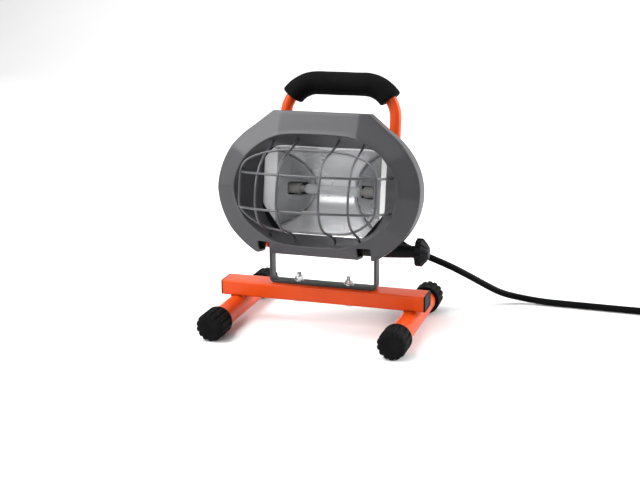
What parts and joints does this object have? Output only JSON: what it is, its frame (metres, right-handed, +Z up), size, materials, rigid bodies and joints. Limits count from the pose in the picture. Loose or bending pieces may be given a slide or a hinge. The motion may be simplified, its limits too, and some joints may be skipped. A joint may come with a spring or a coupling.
{
  "type": "portable work light",
  "caption": "Portable halogen work light: oval shrouded lamp head with wire guard and carry handle, tilting in a U-shaped yoke on a tube floor stand, with mains cord.",
  "frame": {"origin": "on the floor, under the middle of the stand", "axes": "+Z up, the lamp faces -Y, +X is the clamp knob's side"},
  "size_m": [0.5245, 0.2894, 0.2502],
  "materials": {
    "orange_paint": "glossy orange powder coat",
    "black_plastic": "fine satin texture",
    "switch_plastic": "glossy black",
    "black_rubber": "matte moulded rubber",
    "grip_foam": "matte foam",
    "yoke_steel": "grey paint, satin",
    "zinc_steel": "bright zinc plate",
    "black_casting": "black painted casting",
    "grey_shroud": "grey paint, satin",
    "guard_wire": "grey plated wire",
    "seal_rubber": "soft matte",
    "clear_glass": "clear tempered glass",
    "quartz": "clear quartz",
    "reflector_sheet": "hammered bright sheet",
    "ceramic": "unglazed ceramic",
    "brass": "plain brass",
    "ground_green": "green screw",
    "lead_sleeve": "glass-fibre sleeving",
    "cord_jacket": "satin cord jacket"
  },
  "bodies": {
    "base": {"crossbar": "orange_paint", "crossbar_plugs": "black_plastic", "foot_tube_left": "orange_paint", "foot_tube_right": "orange_paint", "foot_welds": "orange_paint", "foot_cap_front_left": "black_rubber", "foot_cap_front_right": "black_rubber", "foot_cap_rear_left": "black_rubber", "foot_cap_rear_right": "black_rubber", "yoke": "yoke_steel", "yoke_bolts": "zinc_steel", "yoke_washers": "zinc_steel", "yoke_nuts": "zinc_steel", "mains_cord": "cord_jacket", "cord_coil": "cord_jacket", "cord_tie": "black_plastic", "mains_plug": "black_rubber", "plug_blades": "brass"},
    "head": {"housing": "black_casting", "front_shroud": "grey_shroud", "shroud_screws": "zinc_steel", "wire_guard": "guard_wire", "lens_gasket": "seal_rubber", "lens_glass": "clear_glass", "reflector": "reflector_sheet", "halogen_lamp": "quartz", "lampholder_left": "ceramic", "lampholder_right": "ceramic", "lampholder_contacts": "brass", "lamp_leads": "lead_sleeve", "wiring_box": "black_casting", "box_screws": "zinc_steel", "box_gasket": "seal_rubber", "box_cover": "black_plastic", "cover_screws": "zinc_steel", "connector_block": "ceramic", "ground_screw": "ground_green", "switch_body": "black_plastic", "strain_relief": "black_rubber", "pivot_bolts": "zinc_steel", "pivot_washers": "zinc_steel", "pivot_nut": "zinc_steel", "handle_tube": "orange_paint", "handle_grip": "grip_foam"},
    "knob": {"tilt_knob": "black_plastic", "knob_insert": "brass"},
    "rocker": {"switch_rocker": "switch_plastic"}
  },
  "joints": [
    {"name": "head_tilt", "type": "hinge", "parent": "base", "child": "head", "pos_m": [0, 0, 0.0835], "axis": [1, 0, 0], "range_deg": [-45, 30], "deforming": ["mains_cord"]},
    {"name": "tilt_knob_turn", "type": "hinge", "parent": "head", "child": "knob", "pos_m": [0.0958, 0, 0.0835], "axis": [1, 0, 0], "range_deg": [0, 540]},
    {"name": "rocker_tip", "type": "hinge", "parent": "head", "child": "rocker", "pos_m": [0, 0.06869, 0.12702], "axis": [1, 0, 0], "range_deg": [-16, 0]}
  ]
}
